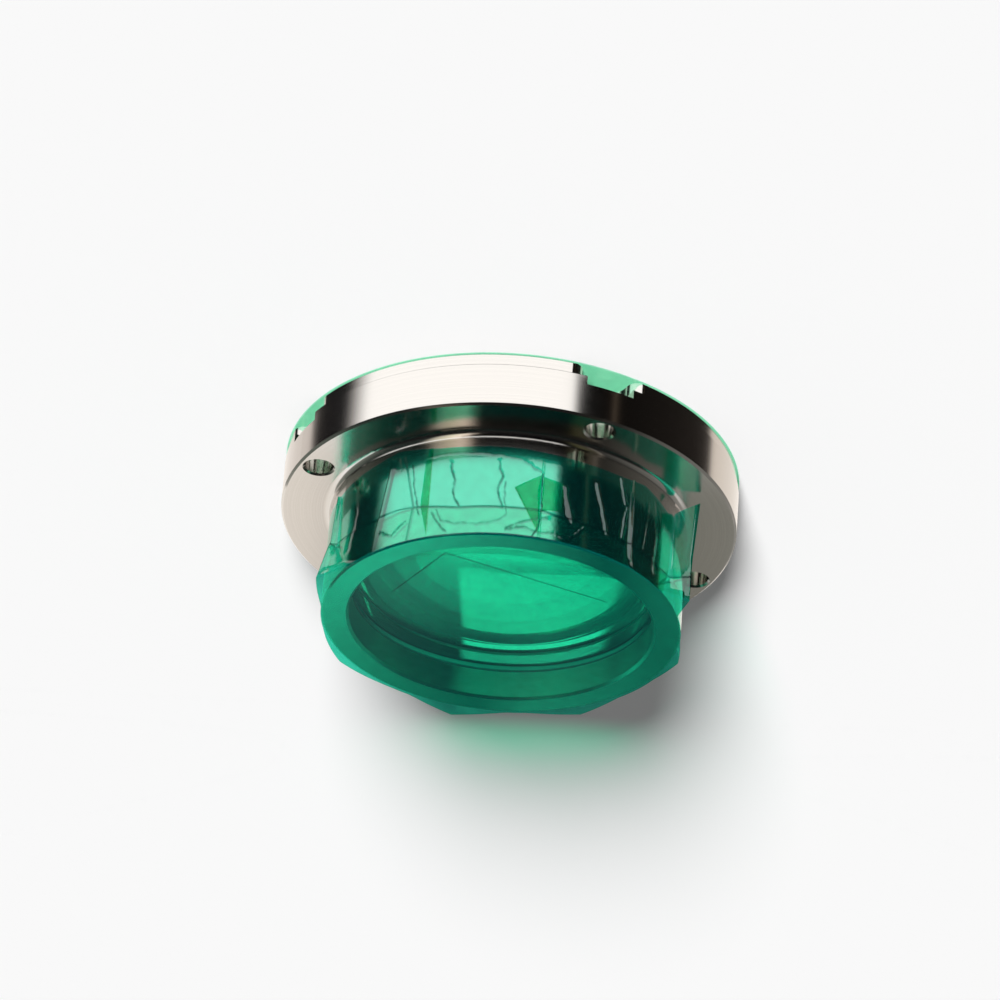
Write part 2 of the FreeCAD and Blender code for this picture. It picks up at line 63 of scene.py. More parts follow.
def polar(degrees, radius, height=0.0):
    """A point round the optical axis, from an angle and millimetres, in metres."""
    turn = math.radians(degrees)
    return Vector((radius * math.cos(turn), radius * math.sin(turn), height)) * MM


# %% [markdown]
# The film is wrapped on the turned holder, so its main sizes are measured on the holder's own
# mesh: where the barrel ends and how wide the flange is. The seating face lies one barrel
# length below the end.

# %% Sizes read from the holder
BARREL_LENGTH = 18.3


def reach(name, axis):
    """How far a CAD node reaches along an axis, in millimetres."""
    return round(max(point.co[axis] for point in nodes[name].data.vertices) / MM, 2)


END_Z = reach("lens_holder", 2)
SEAT_Z = END_Z - BARREL_LENGTH
RIM_RADIUS = reach("lens_holder", 0)
print("barrel end, seating face and rim, mm:", END_Z, round(SEAT_Z, 2), RIM_RADIUS)

# %% [markdown]
# Every material is a small tree of nodes. One function adds a node, gives its settings and
# its constant inputs, and joins the sockets that vary. Objects that only light or show the
# part are linked to the scene, and kept out of the kinds of rays that shouldn't meet them.

# %% A node in one call, and helpers for objects
def add(tree, kind, values=None, links=None, **settings):
    """Adds a node with its settings, constant inputs and links."""
    made = tree.nodes.new(kind)
    for name, value in settings.items():
        setattr(made, name, value)
    for socket, value in (values or {}).items():
        made.inputs[socket].default_value = value
    for socket, source in (links or {}).items():
        tree.links.new(source, made.inputs[socket])
    return made


def new_material(name):
    """An empty material with its output node."""
    material = bpy.data.materials.new(name)
    material.use_nodes = True
    material.node_tree.nodes.clear()
    return material, material.node_tree, add(material.node_tree, "ShaderNodeOutputMaterial")


def put_in_scene(name, data):
    """A new object that shows the given data."""
    thing = bpy.data.objects.new(name, data)
    bpy.context.scene.collection.objects.link(thing)
    return thing


def hide_from(thing, *ray_kinds):
    """Keeps an object out of some kinds of rays."""
    for kind in ray_kinds:
        setattr(thing, "visible_" + kind, False)


# %% [markdown]
# The photograph is taken from 0.96 m with a long lens, about 31 degrees above the seating face,
# and shows the part upside down, with the barrel end towards the viewer and down. Here the
# part stands on its flange, so the camera is rolled over instead. Its three axes were fitted
# to the circles of the part, so they are given as they are and not worked out from an aim.

# %% Camera
SENSOR_WIDTH = 36.0
FOCAL_LENGTH = 217.8
NEAREST = 0.05
FURTHEST = 30.0
CAMERA_PLACE = (0.32195, -0.75789, 0.49208)
LOOK = Vector((-0.334966, 0.792903, -0.509022))
UPWARD = Vector((0.271125, -0.436272, -0.857997))

camera_data = bpy.data.cameras.new("camera")
camera_data.sensor_width = SENSOR_WIDTH
camera_data.lens = FOCAL_LENGTH
camera_data.clip_start = NEAREST
camera_data.clip_end = FURTHEST
camera = put_in_scene("camera", camera_data)
camera.location = CAMERA_PLACE
sideways = LOOK.cross(UPWARD)
camera.rotation_mode = "QUATERNION"
camera.rotation_quaternion = Matrix((sideways, UPWARD, -LOOK)).transposed().to_quaternion()
bpy.context.scene.camera = camera
print("camera distance, mm:", round(camera.location.length / MM))

# %% [markdown]
# The part stands on a plain matt white sheet. A round plane just under it does for that. The
# steel and the glass see the studio through it, so it is kept out of their rays and only
# catches the shadow.

# %% Floor
FLOOR_RADIUS = 12.0
FLOOR_GAP = 0.05

floor_mesh = bpy.data.meshes.new("floor")
shaper = bmesh.new()
bmesh.ops.create_circle(shaper, cap_ends=True, segments=96, radius=FLOOR_RADIUS)
bmesh.ops.translate(shaper, verts=shaper.verts, vec=(0, 0, -FLOOR_GAP * MM))
shaper.to_mesh(floor_mesh)
shaper.free()
floor = put_in_scene("floor", floor_mesh)
hide_from(floor, "glossy", "transmission")

floor_paint, tree, out = new_material("white_matt_floor")
surface = add(tree, "ShaderNodeBsdfDiffuse", {"Color": linear("fbfbfb"), "Roughness": 0.0})
tree.links.new(surface.outputs[0], out.inputs["Surface"])
floor_mesh.materials.append(floor_paint)
print("floor radius, m:", FLOOR_RADIUS)

# %% [markdown]
# Turned steel shows little of itself and much of the room, so the room is drawn for it, by
# compass angle round the part. Walls of the part mirror what is low: a wide white panel with
# black flags at both sides, and pale walls behind. Faces mirror what is high: a dark ceiling
# with a bright gap on one side and a dim one on the other. The white stretch of the high ring,
# from 100 to 127 degrees, is hidden from them by a card, so only rays that have come through
# the lenses meet it.

# %% Panels round the part
LOW_PANELS = (
    (-180.0, "1c1917"),
    (-118.4, "0a0908"),
    (-117.0, "574d42"),
    (-116.0, "0a0908"),
    (-98.0, "050505"),
    (-94.0, "ededed"),
    (14.0, "ededed"),
    (24.0, "807e7d"),
    (29.0, "131314"),
    (54.0, "161515"),
    (59.0, "b3aca7"),
    (113.0, "c8c3bd"),
    (174.0, "bab2aa"),
    (176.0, "1c1917"),
    (180.0, "1c1917"),
)
HIGH_PANELS = (
    (-180.0, "62625f"),
    (-122.5, "252523"),
    (-121.0, "8a847c"),
    (-119.5, "33312b"),
    (-107.0, "3c3c2a"),
    (-101.0, "050505"),
    (-42.0, "050505"),
    (-33.0, "e6d8ca"),
    (-25.0, "c9c4ae"),
    (-16.0, "a6a296"),
    (-8.0, "181f1d"),
    (25.0, "262d2a"),
    (60.0, "60655f"),
    (92.0, "a29e99"),
    (100.0, "ffffff"),
    (127.0, "ffffff"),
    (138.0, "8a8784"),
    (180.0, "62625f"),
)
print("panels, low and high:", len(LOW_PANELS), len(HIGH_PANELS))

# %% [markdown]
# The panels could be lit cards in the scene, but a world shader is simpler: each ring is a
# colour ramp over the compass angle of a ray. The world's texture coordinate gives the ray's
# direction, and its arc tangent gives the angle.

# %% Two rings of panels
world = bpy.data.worlds.new("studio")
bpy.context.scene.world = world
world.use_nodes = True
sky = world.node_tree
sky.nodes.clear()
way = add(sky, "ShaderNodeTexCoord")
axes = add(sky, "ShaderNodeSeparateXYZ", links={"Vector": way.outputs["Generated"]})
compass = add(
    sky,
    "ShaderNodeMath",
    links={0: axes.outputs["Y"], 1: axes.outputs["X"]},
    operation="ARCTAN2",
)
share = add(
    sky,
    "ShaderNodeMapRange",
    {"From Min": -math.pi, "From Max": math.pi},
    {"Value": compass.outputs[0]},
)


def tones_along(tree, measure, rows):
    """Tones along a measure from 0 to 1, from rows of (place, tone), as a colour ramp."""
    ramp = add(tree, "ShaderNodeValToRGB", links={"Fac": measure.outputs[0]})
    stops = ramp.color_ramp.elements
    stops[0].position, stops[0].color = rows[0][0], linear(rows[0][1])
    stops[1].position, stops[1].color = rows[-1][0], linear(rows[-1][1])
    for place, tone in rows[1:-1]:
        stops.new(place).color = linear(tone)
    return ramp


low_ring, high_ring = (
    tones_along(sky, share, [((degrees + 180) / 360, tone) for degrees, tone in panels])
    for panels in (LOW_PANELS, HIGH_PANELS)
)

# %% [markdown]
# The rings lie over each other, with a soft change at the horizon. The room is dark straight
# above and straight below. All heights are the upward share of a ray's direction, from -1
# to 1.

# %% Heights of the room
HORIZON = (-0.05, 0.12)
CEILING = (0.66, 0.8)
PIT = (-0.79, -0.84)


def over_height(band, below, above=None, tone="000000"):
    """One look of the room below a band of heights and another above, or a plain tone."""
    rise = add(
        sky,
        "ShaderNodeMapRange",
        {"From Min": band[0], "From Max": band[1]},
        {"Value": axes.outputs["Z"]},
        interpolation_type="SMOOTHSTEP",
    )
    blend = add(
        sky,
        "ShaderNodeMix",
        {7: linear(tone)},
        {0: rise.outputs[0], 6: below},
        data_type="RGBA",
    )
    if above:
        sky.links.new(above, blend.inputs[7])
    return blend.outputs[2]


rings = over_height(HORIZON, low_ring.outputs[0], above=high_ring.outputs[0])
upper_room = over_height(CEILING, rings, tone="171717")
room = over_height(PIT, upper_room, tone="0c0c0c")

# %% [markdown]
# Mirror rays and rays through the lenses see the room. The viewer sees plain white behind the
# part, and matt surfaces get an even soft light. What comes down through the bore is bright
# in the photograph, so rays that leave the glass downwards find the room twice as strong.

# %% What each kind of ray sees
ROOM_STRENGTH = 2.0
BORE_STRENGTH = 4.0
SOFT_STRENGTH = 0.17
WHITE_STRENGTH = 1.0

rays = add(sky, "ShaderNodeLightPath")
downward = add(
    sky, "ShaderNodeMath", {1: 0.0}, {0: axes.outputs["Z"]}, operation="LESS_THAN"
)
through_bore = add(
    sky,
    "ShaderNodeMath",
    links={0: rays.outputs["Is Transmission Ray"], 1: downward.outputs[0]},
    operation="MULTIPLY",
)
power = add(
    sky,
    "ShaderNodeMapRange",
    {"To Min": ROOM_STRENGTH, "To Max": BORE_STRENGTH},
    {"Value": through_bore.outputs[0]},
)
mirrored = add(sky, "ShaderNodeBackground", links={"Strength": power.outputs[0], "Color": room})
soft, white = (
    add(sky, "ShaderNodeBackground", {"Color": linear("ffffff"), "Strength": strength})
    for strength in (SOFT_STRENGTH, WHITE_STRENGTH)
)
bent = add(
    sky,
    "ShaderNodeMath",
    links={0: rays.outputs["Is Glossy Ray"], 1: rays.outputs["Is Transmission Ray"]},
    operation="MAXIMUM",
)
first_choice = add(
    sky,
    "ShaderNodeMixShader",
    links={0: bent.outputs[0], 1: soft.outputs[0], 2: mirrored.outputs[0]},
)
second_choice = add(
    sky,
    "ShaderNodeMixShader",
    links={0: rays.outputs["Is Camera Ray"], 1: first_choice.outputs[0], 2: white.outputs[0]},
)
add(sky, "ShaderNodeOutputWorld", links={"Surface": second_choice.outputs[0]})
print("world nodes:", len(sky.nodes))

# %% [markdown]
# A card stands close behind the part, where the seating face and the barrel end look. It is
# near enough to show a different tone to each place on the steel, which far panels can't, so
# the seating face turns from grey to bright across the part. It is an upright grid of one
# face, wider than the part, and seen by mirror rays only.

# %% Card behind the part
CARD_ANGLE = 113.0
CARD_DISTANCE = 46.0
CARD_WIDTH = 160.0
CARD_HEIGHT = 110.0

card_mesh = bpy.data.meshes.new("reflection_card")
shaper = bmesh.new()
bmesh.ops.create_grid(shaper, x_segments=1, y_segments=1, size=0.5)
bmesh.ops.scale(shaper, verts=shaper.verts, vec=(CARD_WIDTH * MM, CARD_HEIGHT * MM, 1.0))
bmesh.ops.rotate(shaper, verts=shaper.verts, matrix=Matrix.Rotation(math.radians(90), 3, "X"))
bmesh.ops.translate(shaper, verts=shaper.verts, vec=(0, 0, CARD_HEIGHT / 2 * MM))
card_turn = Matrix.Rotation(math.radians(CARD_ANGLE - 90), 3, "Z")
bmesh.ops.rotate(shaper, verts=shaper.verts, matrix=card_turn)
bmesh.ops.translate(shaper, verts=shaper.verts, vec=polar(CARD_ANGLE, CARD_DISTANCE))
shaper.to_mesh(card_mesh)
shaper.free()
card = put_in_scene("reflection_card", card_mesh)
hide_from(card, "camera", "diffuse", "transmission", "shadow", "volume_scatter")
print("card, mm:", CARD_WIDTH, CARD_HEIGHT)

# %% [markdown]
# The card glows in tones from one side to the other. Its bright and dark stretches are painted light
# and shade, standing in for a floor lit on one side and shaded on the other. The sides of the
# seating face mirror its lower part, and the stretch nearest to the viewer mirrors its upper part,
# so it has two rows of tones with a soft change between them.

# %% Tones of the card
# painted light and shade: the tones of a floor lit on one side and shaded on the other
CARD_LOW_TONES = (
    (0.0, "8c8c88"),
    (0.2, "76766f"),
    (0.3, "9e9e9c"),
    (0.44, "b6b6b2"),
    (0.53, "747472"),
    (0.64, "9a9a97"),
    (0.84, "e6e0d9"),
    (1.0, "f0ece6"),
)
CARD_HIGH_TONES = (
    (0.06, "cacac8"),
    (0.2, "9a9a98"),
    (0.33, "545454"),
    (0.5, "c4c4c4"),
    (0.58, "e0e0e0"),
    (0.66, "ffffff"),
    (1.0, "ffffff"),
)
TONE_REACH = 50.0
TONE_CHANGE = (44.0, 62.0)
CARD_STRENGTH = 1.42

card_glow, tree, out = new_material("painted_light_card")
where = add(tree, "ShaderNodeTexCoord")
tall = add(tree, "ShaderNodeSeparateXYZ", links={"Vector": where.outputs["Object"]})
aside = add(
    tree,
    "ShaderNodeVectorMath",
    {1: polar(CARD_ANGLE - 90, 1.0) / MM},
    {0: where.outputs["Object"]},
    operation="DOT_PRODUCT",
)
across = add(
    tree,
    "ShaderNodeMapRange",
    {"From Min": -TONE_REACH * MM, "From Max": TONE_REACH * MM},
    {"Value": aside.outputs["Value"]},
)
low_tones = tones_along(tree, across, CARD_LOW_TONES)
high_tones = tones_along(tree, across, CARD_HIGH_TONES)
climb = add(
    tree,
    "ShaderNodeMapRange",
    {"From Min": TONE_CHANGE[0] * MM, "From Max": TONE_CHANGE[1] * MM},
    {"Value": tall.outputs["Z"]},
    interpolation_type="SMOOTHSTEP",
)
tones = add(
    tree,
    "ShaderNodeMix",
    links={0: climb.outputs[0], 6: low_tones.outputs[0], 7: high_tones.outputs[0]},
    data_type="RGBA",
)
glow = add(
    tree, "ShaderNodeEmission", {"Strength": CARD_STRENGTH}, {"Color": tones.outputs[2]}
)
tree.links.new(glow.outputs[0], out.inputs["Surface"])
card_glow.cycles.emission_sampling = "NONE"
card_mesh.materials.append(card_glow)

# %% [markdown]
# One large soft lamp on the camera's side, low over the floor, throws the shadow away from the
# viewer. A sun lamp with a wide angle gives that soft edge. The steel and the glass already
# mirror the panels, so the lamp is kept out of their rays.

# %% Main lamp
KEY_ANGLE = -60.0
KEY_ELEVATION = 18.0
KEY_SOFTNESS = 16.0
KEY_STRENGTH = 8.25


def aim(lamp, direction):
    """Turns a lamp to shine in a direction."""
    lamp.rotation_mode = "QUATERNION"
    lamp.rotation_quaternion = direction.to_track_quat("-Z", "Y")


key_light = bpy.data.lights.new("key_lamp", "SUN")
key_light.angle = math.radians(KEY_SOFTNESS)
key_light.energy = KEY_STRENGTH
key = put_in_scene("key_lamp", key_light)
tilt = math.radians(KEY_ELEVATION)
aim(key, -polar(KEY_ANGLE, math.cos(tilt), math.sin(tilt)))
hide_from(key, "glossy", "transmission")
print("main lamp, degrees over the floor:", KEY_ELEVATION)

# %% [markdown]
# Light that has been through the film leaves the barrel green and falls on the floor behind
# it. Path tracing would need very many rays for that, so a small green lamp there gives the
# shadow its tint.

# %% Green light behind the barrel
GREEN_ANGLE = 117.0
GREEN_DISTANCE = 85.5
GREEN_HEIGHT = 10.5
GREEN_TARGET = 103.0
GREEN_SIZE = (32.0, 8.0)
GREEN_POWER = 0.0009

green_light = bpy.data.lights.new("light_through_film", "AREA")
green_light.shape = "RECTANGLE"
green_light.size = GREEN_SIZE[0] * MM
green_light.size_y = GREEN_SIZE[1] * MM
green_light.color = linear("30ffc0")[:3]
green_light.energy = GREEN_POWER
green_lamp = put_in_scene("light_through_film", green_light)
green_lamp.location = polar(GREEN_ANGLE, GREEN_DISTANCE, GREEN_HEIGHT)
aim(green_lamp, polar(GREEN_ANGLE, GREEN_TARGET) - green_lamp.location)
hide_from(green_lamp, "glossy", "camera", "transmission")
print("green lamp, mm from the axis:", GREEN_DISTANCE)

# %% [markdown]
# All turned and ground pieces are round about the optical axis, so their finishes change with
# the distance from it. That distance is the length of a point's place with its height taken
# away.

# %% Distance from the axis
def from_axis(tree, where):
    """The distance of a shaded point from the optical axis."""
    flat = add(
        tree,
        "ShaderNodeVectorMath",
        {1: (1.0, 1.0, 0.0)},
        {0: where.outputs["Object"]},
        operation="MULTIPLY",
    )
    radius = add(tree, "ShaderNodeVectorMath", links={0: flat.outputs[0]}, operation="LENGTH")
    return radius.outputs["Value"]


# %% [markdown]
# The holder is free-machining stainless steel, turned on a lathe. The tool leaves fine rings
# round the axis, about 0.08 mm apart, which is under a pixel, so they are drawn 0.2 mm apart.
# A noise over distance and height alone is the same all the way round, as turned rings are.
# The narrow spigot behind the rim is a separate cut, and where the two meet a thin dark line of
# painted shadow stands in for the small gap at the step.

# %% Rings and the painted shadow at the spigot
RING_PITCH = 0.2
STEP_Z = 2.2
STEP_HALF = 0.075
STEP_FROM = 35.5
# how much the painted shadow at the step darkens the steel's colour
STEP_SHADOW_DARKNESS = -0.8


def turned_rings(tree, radius, height):
    """Noise that changes across the turning rings and not along them."""
    section = add(tree, "ShaderNodeCombineXYZ", links={"X": radius, "Y": height})
    rings = add(
        tree,
        "ShaderNodeTexNoise",
        {"Scale": 1 / (RING_PITCH * MM), "Detail": 3.0, "Roughness": 0.6},
        {"Vector": section.outputs[0]},
    )
    return rings.outputs["Fac"]


def with_painted_step_shadow(tree, shade, radius, height):
    """A shade with a painted shadow line where the spigot meets the rim."""
    at_step = add(
        tree,
        "ShaderNodeMath",
        {1: STEP_Z * MM, 2: STEP_HALF * MM},
        {0: height},
        operation="COMPARE",
    )
    outside = add(
        tree, "ShaderNodeMath", {1: STEP_FROM * MM}, {0: radius}, operation="GREATER_THAN"
    )
    # painted shadow: the colour is darkened in a thin band at the step
    painted_step_shadow = add(
        tree,
        "ShaderNodeMath",
        links={0: at_step.outputs[0], 1: outside.outputs[0]},
        operation="MULTIPLY",
    )
    dimmed = add(
        tree,
        "ShaderNodeMath",
        {1: STEP_SHADOW_DARKNESS},
        {0: painted_step_shadow.outputs[0], 2: shade},
        operation="MULTIPLY_ADD",
    )
    return dimmed.outputs[0]


# %% [markdown]
# The rings blur a reflection across themselves and keep it sharp along them, so the gloss is
# anisotropic, with the tangent round the axis. They also vary the tone and the roughness a
# little. The bore can be given another roughness than the outside: the holder's is duller,
# the loose rings are smoother where they face the beam. The retaining ring is the same steel,
# a little smoother. The pressure ring is plain aluminium, brighter and whiter, and the spacer
# is anodised dark grey, which is duller. The spring is rolled strip with less of a grain.

# %% Turned metal
RING_CONTRAST = (0.25, 0.75)
RING_TONES = (0.94, 1.03)
RING_GLOSS = (0.85, 1.2)
RING_DEPTH = 0.0015
SPECK_SIZE = 0.22
BUMP_STRENGTH = 0.35
BORE_EDGE = (24.2, 24.4)


def turned_metal(name, tone, roughness, lean=0.7, inside=0.35):
    """A lathe-turned metal with rings round the optical axis."""
    material, tree, out = new_material(name)
    where = add(tree, "ShaderNodeTexCoord")
    radius = from_axis(tree, where)
    axes = add(tree, "ShaderNodeSeparateXYZ", links={"Vector": where.outputs["Object"]})
    rings = turned_rings(tree, radius, axes.outputs["Z"])
    contrast = {"From Min": RING_CONTRAST[0], "From Max": RING_CONTRAST[1]}
    shade = add(
        tree,
        "ShaderNodeMapRange",
        {**contrast, "To Min": RING_TONES[0], "To Max": RING_TONES[1]},
        {"Value": rings},
    )
    colour = add(
        tree,
        "ShaderNodeMix",
        {0: 1.0, 6: linear(tone)},
        {7: with_painted_step_shadow(tree, shade.outputs[0], radius, axes.outputs["Z"])},
        data_type="RGBA",
        blend_type="MULTIPLY",
    )
    gloss = add(
        tree,
        "ShaderNodeMapRange",
        {
            **contrast,
            "To Min": roughness * RING_GLOSS[0],
            "To Max": roughness * RING_GLOSS[1],
        },
        {"Value": rings},
    )
    bored = add(
        tree,
        "ShaderNodeMapRange",
        {
            "From Min": BORE_EDGE[0] * MM,
            "From Max": BORE_EDGE[1] * MM,
            "To Min": inside,
            "To Max": 1.0,
        },
        {"Value": radius},
    )
    finish = add(
        tree,
        "ShaderNodeMath",
        links={0: gloss.outputs[0], 1: bored.outputs[0]},
        operation="MULTIPLY",
    )
    specks = add(
        tree,
        "ShaderNodeTexNoise",
        {"Scale": 1 / (SPECK_SIZE * MM), "Detail": 2.0},
        {"Vector": where.outputs["Object"]},
    )
    relief = add(
        tree, "ShaderNodeMath", links={0: rings, 1: specks.outputs["Fac"]}, operation="ADD"
    )
    bump = add(
        tree,
        "ShaderNodeBump",
        {"Strength": BUMP_STRENGTH, "Distance": RING_DEPTH * MM},
        {"Height": relief.outputs[0]},
    )
    around = add(tree, "ShaderNodeTangent", direction_type="RADIAL", axis="Z")
    surface = add(
        tree,
        "ShaderNodeBsdfPrincipled",
        {"Metallic": 1.0, "Anisotropic": lean, "Anisotropic Rotation": 0.25},
        {
            "Base Color": colour.outputs[2],
            "Roughness": finish.outputs[0],
            "Normal": bump.outputs[0],
            "Tangent": around.outputs[0],
        },
    )
    tree.links.new(surface.outputs[0], out.inputs["Surface"])
    return material


holder_steel = turned_metal("turned_stainless_steel", "cbc7c2", 0.15, inside=2.2)
retainer_steel = turned_metal("turned_stainless_retainer", "c5c2bd", 0.12)
ring_aluminium = turned_metal("turned_plain_aluminium", "eff0f2", 0.1)
spacer_aluminium = turned_metal("grey_anodised_aluminium", "7b7e80", 0.25)
spring_steel = turned_metal("rolled_spring_steel", "dcdcde", 0.18, lean=0.3)
print("nodes in the holder's steel:", len(holder_steel.node_tree.nodes))

# %% [markdown]
# The lenses are polished fused silica with an anti-reflection coating, so they bend light but
# hardly mirror it. Their edge is ground and grey. Path tracing can't bring lamp light through
# solid glass, so shadow and matt rays pass straight through, as a real coated lens lets nearly
# all light pass.

# %% Coated silica
GROUND_EDGE = (24.6, 24.75)
EDGE_ROUGHNESS = 0.55
EDGE_GREY = 0.8

silica, tree, out = new_material("polished_coated_silica")
radius = from_axis(tree, add(tree, "ShaderNodeTexCoord"))
ground, greyed = (
    add(
        tree,
        "ShaderNodeMapRange",
        {
            "From Min": GROUND_EDGE[0] * MM,
            "From Max": GROUND_EDGE[1] * MM,
            "To Min": 0.0,
            "To Max": most,
        },
        {"Value": radius},
    )
    for most in (EDGE_ROUGHNESS, EDGE_GREY)
)
polished = add(
    tree,
    "ShaderNodeBsdfPrincipled",
    {
        "Base Color": linear("ccfcf3"),
        "IOR": 1.45,
        "Transmission Weight": 1.0,
        "Specular IOR Level": 0.15,
    },
    {"Roughness": ground.outputs[0]},
)
edge = add(tree, "ShaderNodeBsdfDiffuse", {"Color": linear("6f7a78")})
body = add(
    tree,
    "ShaderNodeMixShader",
    links={0: greyed.outputs[0], 1: polished.outputs[0], 2: edge.outputs[0]},
)
clear = add(tree, "ShaderNodeBsdfTransparent", {"Color": linear("fafdfc")})
rays = add(tree, "ShaderNodeLightPath")
passes = add(
    tree,
    "ShaderNodeMath",
    links={0: rays.outputs["Is Shadow Ray"], 1: rays.outputs["Is Diffuse Ray"]},
    operation="MAXIMUM",
)
choice = add(
    tree,
    "ShaderNodeMixShader",
    links={0: passes.outputs[0], 1: body.outputs[0], 2: clear.outputs[0]},
)
tree.links.new(choice.outputs[0], out.inputs["Surface"])
print("silica nodes:", len(tree.nodes))

# %% [markdown]
# The gasket is carbon-filled PTFE, skived off a block as a thin sheet. It is a soft dark grey
# with a waxy, half-matt skin, and the knife leaves faint cloudy marks about a millimetre wide.
# White PTFE is more common, but the photograph shows no bright ring at the edge of the front
# lens, so the gasket is a dark one here.

# %% Skived gasket
KNIFE_MARK = 1.11

gasket_dark, tree, out = new_material("skived_carbon_filled_ptfe")
where = add(tree, "ShaderNodeTexCoord")
marks = add(
    tree,
    "ShaderNodeTexNoise",
    {"Scale": 1 / (KNIFE_MARK * MM)},
    {"Vector": where.outputs["Object"]},
)
cloudy = add(
    tree,
    "ShaderNodeMix",
    {6: linear("262729"), 7: linear("343537")},
    {0: marks.outputs["Fac"]},
    data_type="RGBA",
)
surface = add(
    tree,
    "ShaderNodeBsdfPrincipled",
    {"Roughness": 0.5, "IOR": 1.38},
    {"Base Color": cloudy.outputs[2]},
)
tree.links.new(surface.outputs[0], out.inputs["Surface"])

# %% [markdown]
# The protective film is clear green polyester, 0.05 mm thick. A sheet that thin doesn't bend
# light, so it is one skin that tints what is behind it and mirrors a little at its surface,
# more at a glancing view. Two layers then darken by themselves, as real ones do. Each film has
# a tint of its own. The skirt on the barrel mirrors more and is less hazy than the flat end.

# %% Tints and gloss of the film
FILM_TINT = "80f3de"
PALE_TINT = "aafbf0"
FLANGE_TINT = "bfffe2"
FILM_HAZE = "007a78"
SIDE_MIRROR = 0.075
END_MIRROR = 0.008
SIDE_HAZE = 0.022
END_HAZE = 0.12
SIDE_TO_END = (27.5, 27.8)
RIPPLE_SIZE = 1.6
RIPPLE_DEPTH = 0.05
RIPPLE_TONES = (0.95, 1.0)


def side_or_end(tree, height, on_side, on_end):
    """One value on the skirt and another on the end, by height."""
    change = add(
        tree,
        "ShaderNodeMapRange",
        {
            "From Min": SIDE_TO_END[0] * MM,
            "From Max": SIDE_TO_END[1] * MM,
            "To Min": on_side,
            "To Max": on_end,
        },
        {"Value": height},
    )
    return change.outputs[0]


# %% [markdown]
# The end film was once folded, and two straight creases still cross the window. A crease turns light
# aside, so it looks thin and dark. It could be a groove in the mesh, but a line this fine is better
# drawn as painted shade: the tint is dimmed where a point is near the line and within its length.

# %% Straight creases
CREASE_HALF = 0.1
CREASE_KEEPS = 0.2


def dimmed_by_crease(tree, where, strength, start, finish):
    """A tint strength that drops, as painted shade, along the line between two points in
    millimetres.
    """
    start = start * MM
    along = finish * MM - start
    length = along.length
    along.normalize()
    offset = add(
        tree,
        "ShaderNodeVectorMath",
        {1: start},
        {0: where.outputs["Object"]},
        operation="SUBTRACT",
    )
    marks = []
    limits = (
        (Vector((-along.y, along.x, 0)), 0.0, CREASE_HALF * MM),
        (along, length / 2, length / 2),
    )
    for direction, middle, half in limits:
        measure = add(
            tree,
            "ShaderNodeVectorMath",
            {1: direction},
            {0: offset.outputs[0]},
            operation="DOT_PRODUCT",
        )
        marks.append(
            add(
                tree,
                "ShaderNodeMath",
                {1: middle, 2: half},
                {0: measure.outputs["Value"]},
                operation="COMPARE",
            )
        )
    mark = add(
        tree,
        "ShaderNodeMath",
        links={0: marks[0].outputs[0], 1: marks[1].outputs[0]},
        operation="MULTIPLY",
    )
    keep = add(
        tree,
        "ShaderNodeMapRange",
        {"To Min": 1.0, "To Max": CREASE_KEEPS},
        {"Value": mark.outputs[0]},
    )
    dimmed = add(
        tree, "ShaderNodeMath", links={0: strength, 1: keep.outputs[0]}, operation="MULTIPLY"
    )
    return dimmed.outputs[0]


# %% [markdown]
# A thin film is never quite flat, so a fine ripple bends its mirror image. Where the skirt is
# folded, the mesh carries a number for folds and painted shade. Above zero it is painted shade: it
# darkens the tint and takes the gloss away, standing in for the light that a sharp crease turns
# aside. Below zero, on flat pleats, it only takes the gloss away.

# %% How strongly the film tints and mirrors
# how much of the tint is left under the fullest painted shade of a fold
FOLD_KEEPS = 0.12
FOLD_GLOSS = 0.1
GLANCE_POWER = 5.0
GLANCE_GROWTH = 11.0


def ripples(tree, where):
    """The ripple of the film and the bump that it makes."""
    ripple = add(
        tree,
        "ShaderNodeTexNoise",
        {"Scale": 1 / (RIPPLE_SIZE * MM), "Detail": 3.0, "Roughness": 0.55},
        {"Vector": where.outputs["Object"]},
    )
    bump = add(
        tree,
        "ShaderNodeBump",
        {"Strength": BUMP_STRENGTH, "Distance": RIPPLE_DEPTH * MM},
        {"Height": ripple.outputs["Fac"]},
    )
    return ripple.outputs["Fac"], bump.outputs[0]


def tint_strength(tree, where, ripple, fold_and_shade, creases):
    """How much of the tint's light is left by ripples and by the painted shade at folds and creases.
    """
    shade = add(
        tree,
        "ShaderNodeMapRange",
        {
            "From Min": 0.3,
            "From Max": 0.7,
            "To Min": RIPPLE_TONES[0],
            "To Max": RIPPLE_TONES[1],
        },
        {"Value": ripple},
    )
    # painted shade at folds and creases dims the tint
    unfolded = add(
        tree, "ShaderNodeMapRange", {"To Min": 1.0, "To Max": FOLD_KEEPS}, {"Value": fold_and_shade}
    )
    product = add(
        tree,
        "ShaderNodeMath",
        links={0: shade.outputs[0], 1: unfolded.outputs[0]},
        operation="MULTIPLY",
    )
    strength = product.outputs[0]
    for start, finish in creases:
        strength = dimmed_by_crease(tree, where, strength, start, finish)
    return strength


